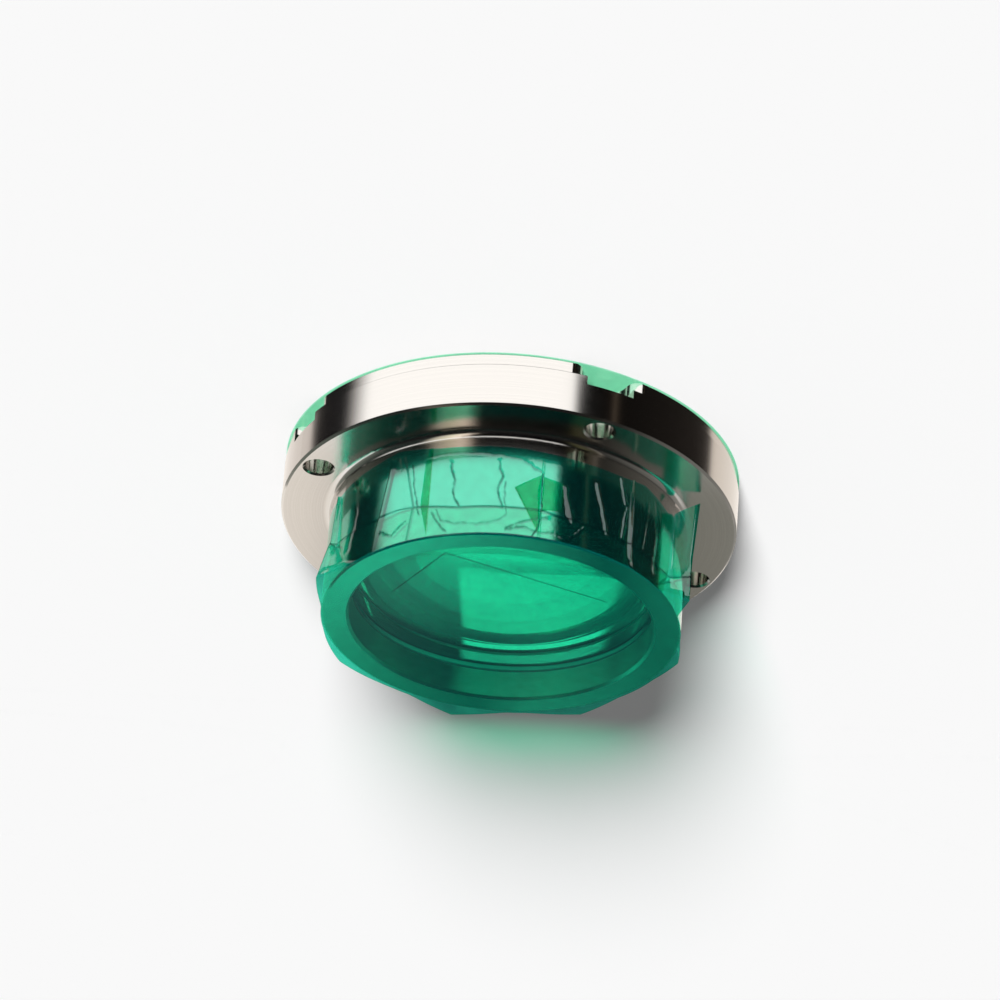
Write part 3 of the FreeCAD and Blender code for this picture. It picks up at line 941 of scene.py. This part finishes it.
def mirror_share(tree, height, bump, fold_and_shade):
    """How much the film mirrors: more at a glancing view, less where it is folded."""
    facing = add(tree, "ShaderNodeLayerWeight", {"Blend": 0.5}, {"Normal": bump})
    slope = add(
        tree,
        "ShaderNodeMath",
        {1: GLANCE_POWER},
        {0: facing.outputs["Facing"]},
        operation="POWER",
    )
    growth = add(
        tree,
        "ShaderNodeMath",
        {1: GLANCE_GROWTH, 2: 1.0},
        {0: slope.outputs[0]},
        operation="MULTIPLY_ADD",
    )
    plain = add(
        tree,
        "ShaderNodeMath",
        links={0: growth.outputs[0], 1: side_or_end(tree, height, SIDE_MIRROR, END_MIRROR)},
        operation="MULTIPLY",
    )
    size_of_fold = add(tree, "ShaderNodeMath", links={0: fold_and_shade}, operation="ABSOLUTE")
    unmarked = add(
        tree,
        "ShaderNodeMapRange",
        {"From Max": 0.6, "To Min": 1.0, "To Max": FOLD_GLOSS},
        {"Value": size_of_fold.outputs[0]},
    )
    glance = add(
        tree,
        "ShaderNodeMath",
        links={0: plain.outputs[0], 1: unmarked.outputs[0]},
        operation="MULTIPLY",
    )
    return glance.outputs[0]


# %% [markdown]
# The film is three shaders in one skin: a tinted see-through one, a little green haze, and a
# thin mirror. A principled glass would bend light as a thick block does, so it isn't used.

# %% Green film
def film_material(name, tint, creases=()):
    """A clear tinted film, with painted shade in thin lines where it was once folded."""
    material, tree, out = new_material(name)
    where = add(tree, "ShaderNodeTexCoord")
    place = add(tree, "ShaderNodeSeparateXYZ", links={"Vector": where.outputs["Object"]})
    height = place.outputs["Z"]
    # the mesh's number for folds and for painted shade along creases and edges
    fold_and_shade = add(tree, "ShaderNodeAttribute", attribute_name="fold_and_shade").outputs["Fac"]
    ripple, bump = ripples(tree, where)
    colour = add(
        tree,
        "ShaderNodeMix",
        {0: 1.0, 6: linear(tint)},
        {7: tint_strength(tree, where, ripple, fold_and_shade, creases)},
        data_type="RGBA",
        blend_type="MULTIPLY",
    )
    through = add(tree, "ShaderNodeBsdfTransparent", links={"Color": colour.outputs[2]})
    haze = add(tree, "ShaderNodeBsdfDiffuse", {"Color": linear(FILM_HAZE)})
    body = add(
        tree,
        "ShaderNodeMixShader",
        links={
            0: side_or_end(tree, height, SIDE_HAZE, END_HAZE),
            1: through.outputs[0],
            2: haze.outputs[0],
        },
    )
    gleam = add(
        tree,
        "ShaderNodeBsdfGlossy",
        {"Color": linear("ffffff"), "Roughness": 0.07},
        {"Normal": bump},
    )
    skin = add(
        tree,
        "ShaderNodeMixShader",
        links={
            0: mirror_share(tree, height, bump, fold_and_shade),
            1: body.outputs[0],
            2: gleam.outputs[0],
        },
    )
    tree.links.new(skin.outputs[0], out.inputs["Surface"])
    return material


# the two creases of the window are drawn as painted shade lines
CREASE_KNEE = polar(-43.6, 23.4) / MM
CREASE_ENDS = (polar(-2.0, 19.0) / MM, polar(-124.0, 18.95) / MM)
window_creases = [(CREASE_KNEE, crease_end) for crease_end in CREASE_ENDS]

film_pale = film_material("pale_green_polyester_film", PALE_TINT)
film_flange = film_material("light_green_polyester_film", FLANGE_TINT)
film_creased = film_material("creased_green_polyester_film", FILM_TINT, window_creases)
print("creases in the window:", len(window_creases))

# %% [markdown]
# The hard pieces are the CAD nodes themselves. They keep their meshes, and each gets the finish
# of its real material in the slots that it already has.

# %% Materials for the CAD nodes
FINISHES = {
    "lens_holder": holder_steel,
    "retaining_ring": retainer_steel,
    "wave_spring": spring_steel,
    "spacer_ring": spacer_aluminium,
    "pressure_ring": ring_aluminium,
    "front_lens": silica,
    "rear_lens": silica,
    "seat_gasket": gasket_dark,
}
for name, finish in FINISHES.items():
    for slot in nodes[name].material_slots:
        slot.material = finish
print("finished nodes:", len(FINISHES))

# %% [markdown]
# The film pieces start as a flat rectangular grid, one way round the part and the other way
# out from the middle. Every point is then laid where the wrapped film has it. The seam and the
# middle close by merging.

# %% A sheet laid from a grid
MERGE_DISTANCE = 0.0004


def between(table, at):
    """A value read from a table of (place, value) rows with straight runs between them."""
    if at <= table[0][0]:
        return table[0][1]
    for (x0, y0), (x1, y1) in zip(table, table[1:]):
        if at <= x1:
            return y0 + (y1 - y0) * (at - x0) / (x1 - x0)
    return table[-1][1]


def angle_of(column, columns):
    """The angle of one of the evenly spaced columns of a sheet, from -180 degrees."""
    return -180 + 360 * (column % columns) / columns


def lay_sheet(name, columns, rows, lay, material, mark=None):
    """A sheet of columns by rows: lay places its points, and mark gives each point its fold mark or
    painted shade.
    """
    shaper = bmesh.new()
    bmesh.ops.create_grid(shaper, x_segments=columns, y_segments=rows, size=0.5)
    fold_and_shade_layer = shaper.verts.layers.float.new("fold_and_shade")
    for point in shaper.verts:
        column = round((point.co.x + 0.5) * columns)
        row = round((point.co.y + 0.5) * rows)
        point.co = lay(column, row)
        if mark:
            point[fold_and_shade_layer] = mark(column, row)
    bmesh.ops.remove_doubles(shaper, verts=shaper.verts, dist=MERGE_DISTANCE * MM)
    bmesh.ops.recalc_face_normals(shaper, faces=shaper.faces)
    for face in shaper.faces:
        face.smooth = True
    mesh = bpy.data.meshes.new(name)
    shaper.to_mesh(mesh)
    shaper.free()
    mesh.materials.append(material)
    piece = put_in_scene(name, mesh)
    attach(piece, "root")
    area = sum(face.area for face in mesh.polygons)
    print(f"{name}: {len(mesh.polygons)} faces, {area * 1e6:.0f} mm2")
    return piece


# %% [markdown]
# The first film lies tight on the end and the top of the barrel. Its cut edge shows through
# the second film as a line round the barrel, 4 to 6 mm from the end. It was cut by hand, so
# the edge wanders, and a table gives its height by angle.

# %% First film
FIRST_EDGE = (
    (-180.0, 13.4),
    (-139.8, 13.94),
    (-123.4, 14.52),
    (-111.1, 14.27),
    (-81.6, 13.77),
    (-77.4, 13.32),
    (-50.4, 13.5),
    (-36.2, 12.4),
    (-30.5, 12.34),
    (-22.5, 12.65),
    (5.1, 11.86),
    (40.0, 13.2),
    (90.0, 12.7),
    (140.0, 13.6),
    (180.0, 13.4),
)
FIRST_RINGS = (0.0, 8.0, 16.0, 22.0, 24.5, 26.5, 27.4, 27.8)
FIRST_COLUMNS = 360
FIRST_DROPS = 14
FIRST_RADIUS = 28.06
FIRST_TOP = END_Z - 0.12
FIRST_LIFT = 0.05


def lay_first(column, row):
    """The place of a grid point of the first film, on the end or down the barrel."""
    degrees = angle_of(column, FIRST_COLUMNS)
    if row < len(FIRST_RINGS):
        return polar(degrees, FIRST_RINGS[row], END_Z + FIRST_LIFT)
    down = (row - len(FIRST_RINGS)) / FIRST_DROPS
    edge = SEAT_Z + between(FIRST_EDGE, degrees)
    return polar(degrees, FIRST_RADIUS, FIRST_TOP + (edge - FIRST_TOP) * down)


first_film = lay_sheet(
    "first_barrel_film", FIRST_COLUMNS, len(FIRST_RINGS) + FIRST_DROPS, lay_first, film_pale
)
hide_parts("barrel_film_first")

# %% [markdown]
# The second film is a larger sheet. On the end it stands a little past the steel, with
# corners where its spare cloth was gathered, and each corner runs down the barrel as a fin.
# Its lower edge, the hem, rises and falls above the seating face.

# %% Second film, its hem and fins
HEM = (
    (-180.0, 3.0),
    (-150.0, 2.8),
    (-136.5, 3.8),
    (-134.4, 3.4),
    (-133.5, 1.0),
    (-132.6, 3.4),
    (-128.6, 3.8),
    (-114.5, 2.33),
    (-103.8, 3.13),
    (-91.3, 3.23),
    (-79.2, 3.1),
    (-69.4, 2.81),
    (-56.0, 2.75),
    (-43.4, 2.56),
    (-28.4, 1.49),
    (-20.0, 2.2),
    (4.0, 3.2),
    (55.0, 2.4),
    (100.0, 3.3),
    (140.0, 2.5),
    (180.0, 3.0),
)
# angle, reach at the end, reach at mid height, reach at the hem, spread at the end
FINS = (
    (3.0, 2.7, 1.0, 0.5, 17.0),
    (55.0, 1.2, 1.4, 2.0, 22.0),
    (100.4, 2.8, 1.2, 1.6, 17.0),
    (140.4, 2.0, 1.2, 2.2, 17.0),
    (188.0, 1.1, 0.9, 1.8, 14.0),
    (226.5, 3.2, 3.4, 4.1, 9.0),
    (251.3, 0.3, 0.7, 0.5, 4.0),
)


def reach_of_fins(degrees, down):
    """How far the film stands out at an angle; down is 0 at the end and 1 at the hem."""
    most = 0.0
    for centre, end, middle, hem, spread in FINS:
        # a fin starts as a wide corner of the end and narrows to a fold on the barrel
        aside = abs((degrees - centre + 180) % 360 - 180)
        tall = between(((0.0, end), (0.45, middle), (1.0, hem)), down)
        wide = between(((0.0, spread), (0.12, spread * 0.45), (0.4, 0.9), (1.0, 0.6)), down)
        sharp = between(((0.0, 1.25), (0.12, 2.0), (0.4, 1.4)), down)
        if aside < wide:
            most = max(most, tall * (1 - aside / wide) ** sharp)
    return most


print("fins:", len(FINS))

# %% [markdown]
# On the side the spare cloth is pressed flat into pleats. A flat pleat is laid as it is
# folded: forwards, back, and forwards again, so its columns of points start at one angle, but
# for a tiny nudge that keeps their order, and reach aside by different amounts. Columns are
# closer where the camera looks and at fins.

# %% Pleats and columns
# the angle where each pleat is folded over, and rows of (height above the face, reach angle)
PLEATS = (
    (-40.7, ((3.0, -39.4), (4.6, -38.6), (9.0, -38.2), (12.2, -37.9), (15.5, -39.6), (17.5, -40.6))),
    (-76.3, ((7.1, -76.2), (9.8, -68.0), (17.2, -76.2))),
    (-76.9, ((7.4, -77.0), (7.9, -83.6), (12.7, -83.8), (13.3, -77.0))),
)
PLEAT_STEPS = 6
PLEAT_NUDGE = 0.0001
SPACING = 1.0
CLOSE_SPACING = 0.2
CLOSE_RANGE = 1.8
FRONT = (-142.0, -14.0)


def column_list():
    """Columns round the skirt: (angle, pleat, step), closer at fins and repeated at pleats."""
    angles = {round(-180 + SPACING * i, 3) for i in range(round(360 / SPACING))}
    fine = round((FRONT[1] - FRONT[0]) / CLOSE_SPACING)
    angles |= {round(FRONT[0] + CLOSE_SPACING * i, 3) for i in range(fine + 1)}
    steps = round(CLOSE_RANGE / CLOSE_SPACING)
    for fin in FINS:
        centre = (fin[0] + 180) % 360 - 180
        angles |= {round(centre + CLOSE_SPACING * i, 3) for i in range(-steps, steps + 1)}
    columns = [(angle, None, 0) for angle in angles]
    for number, (anchor, rows) in enumerate(PLEATS):
        for step in range(2 * PLEAT_STEPS + 1):
            columns.append((anchor + PLEAT_NUDGE * step, number, step))
    return sorted(columns, key=lambda column: column[0])


COLUMN_LIST = column_list()
print("columns round the second film:", len(COLUMN_LIST))

# %% [markdown]
# Clinging film has fine raised ridges where air is caught, and sharp bends where it was bent over,
# which turn light aside and look dark; that darkness is painted shade. Both are runs of straight
# lines on the barrel. A point's distance from a run says how much it is lifted and given painted
# shade there, and a slow noise lets the lines wander a little.

# %% Ridges
SKIN = 28.2
OUT_OF_REACH = 9.0
RIDGE_MARGIN = 3.0
WANDER_TURN = 0.4
WANDER_UP = 0.2
UNEVENNESS = 0.5
# height, half width in millimetres, darkness of the painted shade, and the run as (angle, height
# above the face)
RIDGES = (
    (0.12, 0.24, 0.5, ((-47.2, 5.2), (-49.0, 8.6), (-48.6, 10.6), (-50.7, 13.5))),
    (0.12, 0.24, 0.5, ((-62.6, 5.4), (-64.1, 8.0), (-62.8, 9.9), (-64.6, 13.6))),
    (0.16, 0.4, 0.2, ((-84.2, 8.6), (-85.2, 11.0), (-87.2, 13.9))),
    (0.24, 0.3, 0.0, ((-94.6, 6.2), (-96.4, 9.5), (-99.6, 14.4))),
    (0.26, 0.3, 0.0, ((-103.6, 3.4), (-106.6, 8.3), (-105.3, 13.9))),
    (0.12, 0.3, 0.2, ((-116.2, 5.2), (-115.6, 9.0), (-114.3, 13.5))),
    (0.14, 0.22, 0.5, ((-66.0, 17.4), (-72.0, 16.6), (-77.5, 17.2), (-81.9, 17.0))),
    (0.14, 0.22, 0.6, ((-81.9, 17.0), (-86.4, 17.5), (-91.2, 14.7), (-101.3, 16.6))),
    (0.14, 0.24, 0.6, ((-23.8, 15.6), (-28.5, 16.4), (-33.0, 14.8))),
    (0.1, 0.24, 0.4, ((-42.0, 14.0), (-44.0, 15.6), (-47.0, 17.6))),
    (0.12, 0.22, 0.5, ((-66.0, 17.2), (-72.5, 15.4), (-79.2, 14.4))),
    (0.05, 0.2, 0.35, ((-43.4, 13.7), (-45.2, 15.5), (-50.0, 16.3), (-57.0, 16.6), (-63.6, 15.9))),
    (0.05, 0.2, 0.3, ((-63.6, 15.9), (-66.2, 14.6), (-65.4, 12.6), (-65.0, 9.0))),
    (0.05, 0.25, 0.3, ((-40.5, 3.9), (-50.0, 3.6), (-60.0, 4.0), (-70.0, 4.9), (-76.0, 6.6))),
    (0.05, 0.16, 0.6, ((-33.8, 4.6), (-35.4, 9.5), (-37.4, 13.8))),
    (0.0, 0.16, 0.8, ((-76.5, 7.0), (-76.8, 12.5), (-76.5, 16.2), (-74.6, 18.0))),
    (-0.12, 0.5, 0.0, ((-8.0, 3.0), (-9.5, 9.0), (-6.5, 15.0))),
    (-0.12, 0.5, 0.0, ((-121.0, 4.2), (-123.0, 10.0), (-121.5, 16.0))),
)


def off_run(degrees, above, run):
    """The distance in millimetres from a point of the barrel to a run of straight lines."""
    around = math.radians(1) * SKIN
    nearest = OUT_OF_REACH
    for (a0, z0), (a1, z1) in zip(run, run[1:]):
        across, along = (a1 - a0) * around, z1 - z0
        x, y = (degrees - a0) * around, above - z0
        part = (x * across + y * along) / (across * across + along * along)
        part = min(1.0, max(0.0, part))
        nearest = min(nearest, math.hypot(x - part * across, y - part * along))
    return nearest


def ridge_height(degrees, above):
    """How far ridges lift the film at a point, in millimetres, and how much painted shade they add
    there.
    """
    lift = painted_shade = 0.0
    place = Vector((degrees / 2.0, above, 3.0))
    wander = noise.noise(place * 0.8)
    uneven = 1.0 + UNEVENNESS * noise.noise(place * 1.7)
    for tall, wide, shade_strength, run in RIDGES:
        angles = [angle for angle, z in run]
        if min(angles) - RIDGE_MARGIN < degrees < max(angles) + RIDGE_MARGIN:
            away = off_run(degrees + WANDER_TURN * wander, above + WANDER_UP * wander, run)
            near = math.exp(-((away / (wide * uneven)) ** 2))
            lift += tall * near
            # painted shade along the ridge
            painted_shade = max(painted_shade, min(1.0, shade_strength * uneven) * near * near)
    return lift, painted_shade


print("ridges:", len(RIDGES))

# %% [markdown]
# One wide pleat is pressed down as a flap that stands off the barrel at its raised edge. The
# rest of the film clings with slow waves, which give its mirror images their wobble.

# %% The flap and slow waves
# height above the face, angle of the raised edge, angle of the low edge
FLAP = ((3.0, -26.0, -30.5), (6.0, -25.0, -32.3), (12.3, -22.6, -35.3), (18.0, -19.8, -33.8))
FLAP_FROM = 2.6
FLAP_EDGE = 0.3
FLAP_LOW = 0.1
FLAP_RISE = 0.3
STREAK_DEPTH = 0.03
WIDE_WAVE = 7.0
WIDE_DEPTH = 0.05
FINE_WAVE = 2.6
FINE_DEPTH = 0.012


def flap_height(degrees, above):
    """How far the pressed flap stands off the barrel, in millimetres."""
    high = between([(z, a) for z, a, b in FLAP], above)
    low = between([(z, b) for z, a, b in FLAP], above)
    if not low - FLAP_EDGE < degrees < high + FLAP_EDGE or above < FLAP_FROM:
        return 0.0
    part = (degrees - low) / (high - low)
    inwards = min(high + FLAP_EDGE - degrees, degrees - low + FLAP_EDGE)
    streak = STREAK_DEPTH * math.sin(16 * part + 0.3 * above) * (1 - part)
    return min(1.0, inwards / FLAP_EDGE) * (FLAP_LOW + FLAP_RISE * min(1.0, part) + streak)


def slackness(degrees, above):
    """Slow waves in the cling of the film, in millimetres."""
    point = polar(degrees, SKIN, above) / MM
    wide = noise.noise(Vector((point.x, point.y, point.z * 0.6)) / WIDE_WAVE)
    fine = noise.noise(Vector((point.x + 50, point.y, point.z)) / FINE_WAVE)
    return WIDE_DEPTH * wide + FINE_DEPTH * fine


# %% [markdown]
# Now the second film can be laid. Its first rows are rings on the end, and the rest go down
# the barrel from there to the hem. It lies closer to the steel below the first film's edge.
# Another function marks the points that are folded, and paints shade along creases, ridges, the
# flap's edges and the first film's edge, for the material.

# %% Second film
SECOND_RINGS = (0.0, 5.0, 10.0, 15.0, 19.0, 22.0, 24.0, 25.5, 26.6, 27.3, 27.75, 28.0)
SECOND_DROPS = 72
SECOND_LIFT = 0.2
SKIRT_TOP = END_Z + 0.12
FINS_FROM = 25.0
FIRST_STEP = 0.06
STEP_RUN = ((-0.15, 0.0), (0.15, 1.0))
LAYER_GAP = 0.05
PLEAT_MARK = -0.5
EDGE_LINE_WIDTH = 0.15
# how dark the painted shade line is where the first film ends under the second
EDGE_SHADE = 0.75
FLAP_LINE_WIDTH = 0.16
# which edge of the flap, the raised or the low one, and how dark its painted shade line is
FLAP_SHADE_LINES = ((1, 0.9), (2, 0.45))


def on_skirt(degrees, row):
    """How far down the skirt a row is, from 0 to 1, and its height above the seating face."""
    down = (row - len(SECOND_RINGS)) / SECOND_DROPS
    hem = SEAT_Z + between(HEM, degrees)
    return down, SKIRT_TOP + (hem - SKIRT_TOP) * down - SEAT_Z


def lay_second(column, row):
    """The place of a grid point of the second film, on the end or down the barrel."""
    degrees, pleat, step = COLUMN_LIST[column % len(COLUMN_LIST)]
    if row < len(SECOND_RINGS):
        radius = SECOND_RINGS[row]
        if radius > FINS_FROM:
            spread = (radius - FINS_FROM) / (SKIN - FINS_FROM)
            radius += reach_of_fins(degrees, 0.0) * spread
        return polar(degrees, radius, END_Z + SECOND_LIFT)
    down, above = on_skirt(degrees, row)
    radius = SKIN + reach_of_fins(degrees, down)
    below_edge = between(FIRST_EDGE, degrees) - above
    radius -= FIRST_STEP * between(STEP_RUN, below_edge)
    # the film is tight at the barrel end and slackens over the first quarter of the skirt
    calm = min(1.0, 4 * down)
    relief = slackness(degrees, above) + ridge_height(degrees, above)[0]
    radius += calm * (relief + flap_height(degrees, above))
    if pleat is not None:
        anchor, rows = PLEATS[pleat]
        turn = step / PLEAT_STEPS
        share = turn if turn <= 1 else 2 - turn
        degrees = anchor + (between(rows, above) - anchor) * share
        radius += LAYER_GAP * (2 - turn)
    return polar(degrees, radius, SEAT_Z + above)


def mark_folds_and_shade(column, row):
    """Painted shade in dark lines where the film is folded, along ridges and where the first film
    ends under it; pleats only get a mark that takes the gloss away.
    """
    degrees, pleat, step = COLUMN_LIST[column % len(COLUMN_LIST)]
    if pleat is not None:
        return PLEAT_MARK
    if row < len(SECOND_RINGS):
        return 0.0
    above = on_skirt(degrees, row)[1]
    # painted shade along ridges, the first film's edge and the edges of the flap
    painted_shade = ridge_height(degrees, above)[1]
    off_edge = abs(between(FIRST_EDGE, degrees) - above)
    painted_shade = max(painted_shade, EDGE_SHADE * math.exp(-((off_edge / EDGE_LINE_WIDTH) ** 2)))
    for edge, shade_strength in FLAP_SHADE_LINES:
        run = [(flap_row[edge], flap_row[0]) for flap_row in FLAP]
        off_line = off_run(degrees, above, run)
        painted_shade = max(painted_shade, shade_strength * math.exp(-((off_line / FLAP_LINE_WIDTH) ** 2)))
    return painted_shade


second_film = lay_sheet(
    "second_barrel_film",
    len(COLUMN_LIST),
    len(SECOND_RINGS) + SECOND_DROPS,
    lay_second,
    film_creased,
    mark_folds_and_shade,
)
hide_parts("barrel_film_second")

# %% [markdown]
# A third film, a plain round sheet, covers the flange from behind. It bridges the slots for
# the screw heads and waves a little at its rim.

# %% Flange film
FLANGE_RINGS = 40
FLANGE_COLUMNS = 288
FLANGE_INSET = 0.05
FLANGE_Z = 0.1
FLANGE_WAVE = 0.03


def lay_flange(column, row):
    """The place of a grid point of the film under the flange."""
    degrees = angle_of(column, FLANGE_COLUMNS)
    radius = (RIM_RADIUS - FLANGE_INSET) * row / FLANGE_RINGS
    wave = FLANGE_WAVE * math.sin(math.radians(3 * degrees + 40)) * (radius / RIM_RADIUS) ** 4
    return polar(degrees, radius, FLANGE_Z + wave)


flange_film = lay_sheet("flange_film_sheet", FLANGE_COLUMNS, FLANGE_RINGS, lay_flange, film_flange)
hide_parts("flange_film")

# %% [markdown]
# The photograph's tones are plain ones, so the standard view transform suits it.

# %% Colour management
bpy.context.scene.view_settings.view_transform = "Standard"
